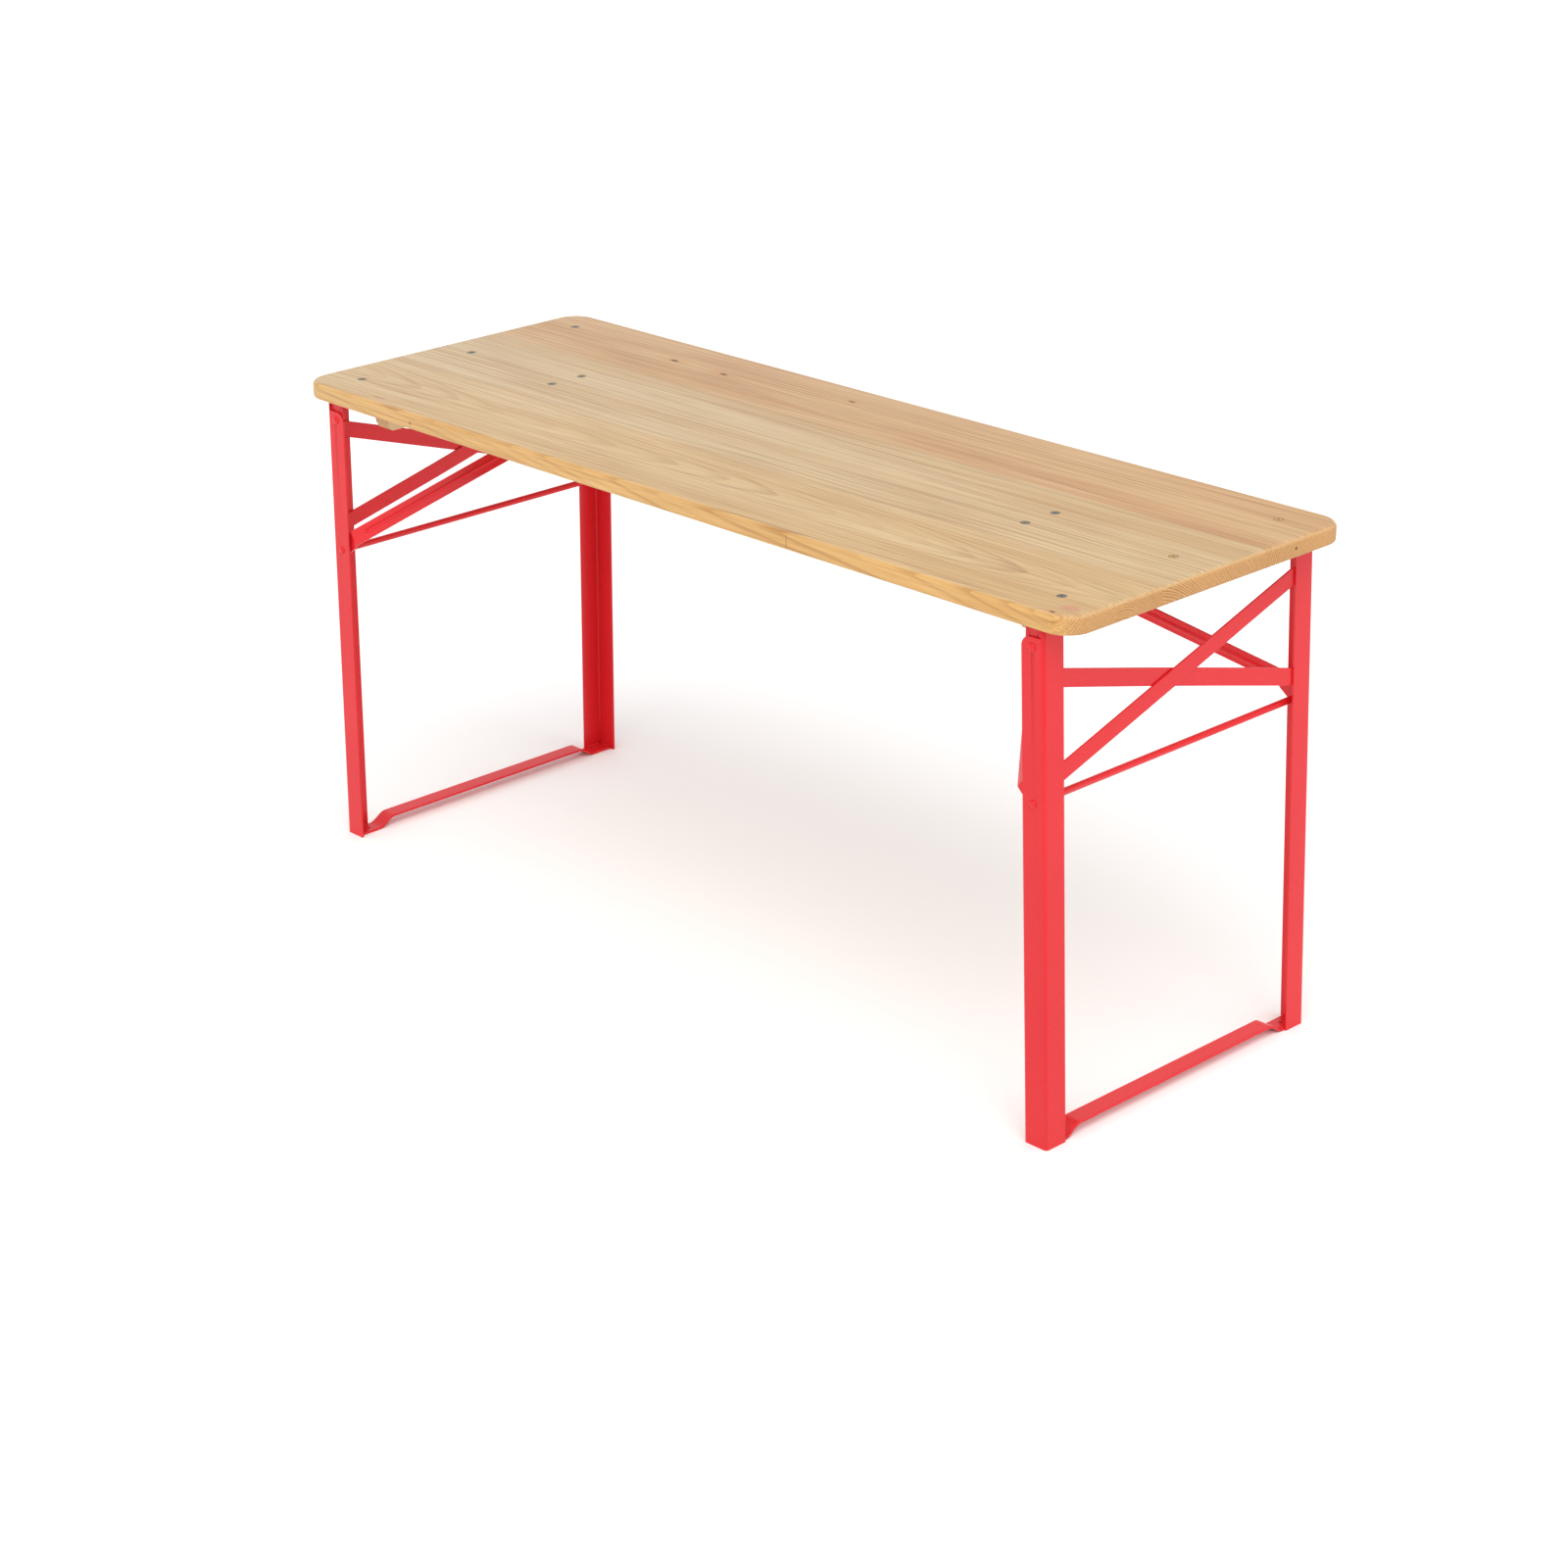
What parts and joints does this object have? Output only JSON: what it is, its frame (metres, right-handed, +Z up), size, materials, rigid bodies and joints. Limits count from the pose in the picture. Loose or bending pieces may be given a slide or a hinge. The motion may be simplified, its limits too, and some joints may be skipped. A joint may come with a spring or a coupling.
{
  "type": "folding picnic table",
  "caption": "Folding picnic table: glued wooden top on hinged angle-steel leg frames with V struts that lock in a sprung catch.",
  "frame": {"origin": "on the floor, under the middle of the tabletop", "axes": "+X along the table, +Y across it, +Z up"},
  "size_m": [1.6, 0.56, 0.76],
  "materials": {
    "top_wood": "clear lacquered light hardwood, satin",
    "cleat_wood": "raw pale wood",
    "red_coat": "gloss red powder coat on steel",
    "zinc": "zinc plated",
    "bolt_steel": "yellow zinc plated",
    "spring_steel": "bright spring wire"
  },
  "bodies": {
    "top": {"front_board": "top_wood", "middle_board": "top_wood", "rear_board": "top_wood", "end_cleat_left": "cleat_wood", "end_cleat_right": "cleat_wood", "cleat_screws": "zinc", "hinge_strap_left": "red_coat", "hinge_strap_right": "red_coat", "strap_bolts": "bolt_steel", "strap_nuts": "zinc", "catch_bracket_left": "red_coat", "catch_bracket_right": "red_coat", "catch_bolts": "bolt_steel", "catch_nuts": "zinc", "latch_pins": "zinc", "latch_spring_left": "spring_steel", "latch_spring_right": "spring_steel"},
    "leg_frame_left": {"front_leg_left": "red_coat", "rear_leg_left": "red_coat", "straight_brace_left": "red_coat", "joggled_brace_left": "red_coat", "pivot_rod_left": "red_coat", "hinge_rivets_left": "red_coat", "foot_rail_left": "red_coat"},
    "strut_left": {"front_strut_left": "red_coat", "rear_strut_left": "red_coat", "strut_pin_left": "zinc"},
    "latch_left": {"latch_lever_left": "red_coat"},
    "leg_frame_right": {"front_leg_right": "red_coat", "rear_leg_right": "red_coat", "straight_brace_right": "red_coat", "joggled_brace_right": "red_coat", "pivot_rod_right": "red_coat", "hinge_rivets_right": "red_coat", "foot_rail_right": "red_coat"},
    "strut_right": {"front_strut_right": "red_coat", "rear_strut_right": "red_coat", "strut_pin_right": "zinc"},
    "latch_right": {"latch_lever_right": "red_coat"}
  },
  "joints": [
    {"name": "leg_fold_left", "type": "hinge", "parent": "top", "child": "leg_frame_left", "pos_m": [-0.73, 0, 0.705], "axis": [0, -1, 0], "range_deg": [0, 91.65]},
    {"name": "strut_swing_left", "type": "hinge", "parent": "leg_frame_left", "child": "strut_left", "pos_m": [-0.73613, 0, 0.49209], "axis": [0, -1, 0], "range_deg": [-132.59, 0]},
    {"name": "latch_lift_left", "type": "hinge", "parent": "top", "child": "latch_left", "pos_m": [-0.5, 0, 0.721], "axis": [0, -1, 0], "range_deg": [0, 8], "stiffness_Nm_per_rad": 0.08, "springref_deg": -17.19, "deforming": ["latch_spring_left"]},
    {"name": "leg_fold_right", "type": "hinge", "parent": "top", "child": "leg_frame_right", "pos_m": [0.73, 0, 0.705], "axis": [0, 1, 0], "range_deg": [0, 91.65]},
    {"name": "strut_swing_right", "type": "hinge", "parent": "leg_frame_right", "child": "strut_right", "pos_m": [0.73613, 0, 0.49209], "axis": [0, 1, 0], "range_deg": [-132.59, 0]},
    {"name": "latch_lift_right", "type": "hinge", "parent": "top", "child": "latch_right", "pos_m": [0.5, 0, 0.721], "axis": [0, 1, 0], "range_deg": [0, 8], "stiffness_Nm_per_rad": 0.08, "springref_deg": -17.19, "deforming": ["latch_spring_right"]}
  ],
  "couplings": [
    {"joint": "strut_swing_left", "follows": "leg_fold_left", "ratio": -1.4413},
    {"joint": "strut_swing_right", "follows": "leg_fold_right", "ratio": -1.4413}
  ]
}
